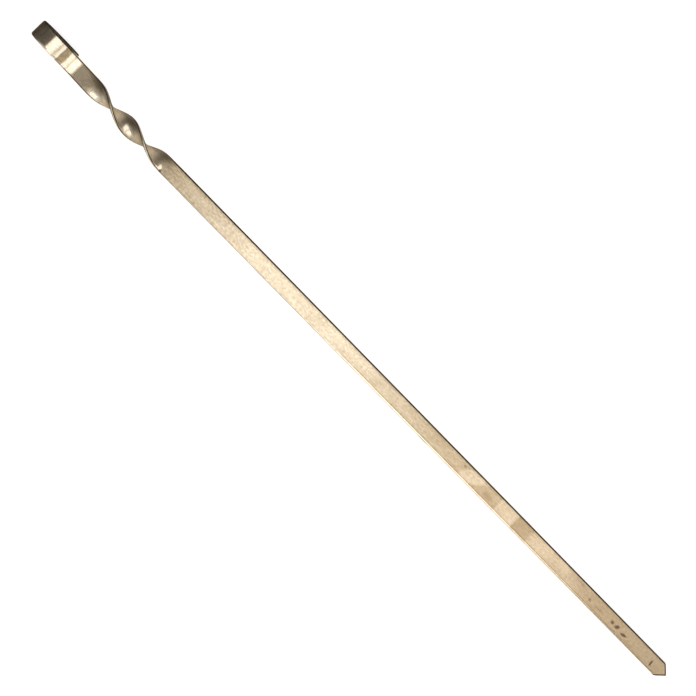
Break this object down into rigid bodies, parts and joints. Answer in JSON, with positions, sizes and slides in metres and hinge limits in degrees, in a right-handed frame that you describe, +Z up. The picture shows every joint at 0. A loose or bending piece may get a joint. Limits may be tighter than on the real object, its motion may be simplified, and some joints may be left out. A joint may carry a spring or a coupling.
{
  "type": "kebab skewer",
  "caption": "Flat kebab skewer of stainless bar: straight blade with a sheared point, a twisted neck and a rolled ring to hold and hang it by.",
  "frame": {"origin": "on the table that the skewer rests on, in the middle of its bounding box", "axes": "+X along the blade from the ring towards the point, +Y across the blade, +Z up from the table; the ring's hole runs about along Y"},
  "size_m": [0.4998, 0.0132, 0.0237],
  "materials": {
    "stainless": "mill finish with a faint grain along the bar, warm in tone, lightly stained by use near the point"
  },
  "bodies": {
    "root": {"skewer_bar": "stainless"}
  },
  "joints": []
}
